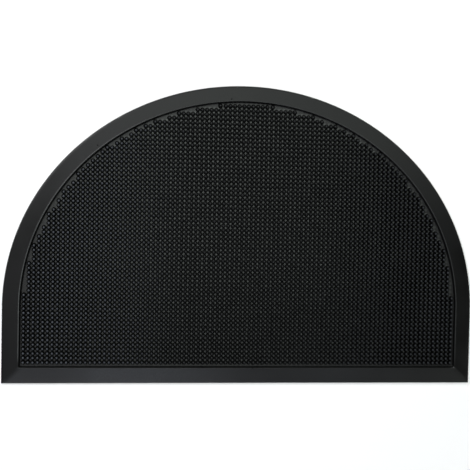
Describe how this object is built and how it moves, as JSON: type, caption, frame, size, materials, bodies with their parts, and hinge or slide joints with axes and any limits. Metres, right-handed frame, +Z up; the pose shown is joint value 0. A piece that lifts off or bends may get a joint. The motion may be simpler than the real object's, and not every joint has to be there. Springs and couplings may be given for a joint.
{
  "type": "half-round rubber doormat",
  "caption": "Half-round moulded rubber scraper mat with a bevelled border and a recessed field of short round pins, flat underneath.",
  "frame": {"origin": "centre of the outline's bounding box, on the surface that the mat lies on", "axes": "+X along the straight front edge, +Y towards the rounded back, +Z up through the thickness"},
  "size_m": [0.6, 0.377, 0.007],
  "materials": {
    "rubber": "matt black moulded rubber with a faint grey bloom"
  },
  "bodies": {
    "root": {"mat": "rubber"}
  },
  "joints": []
}
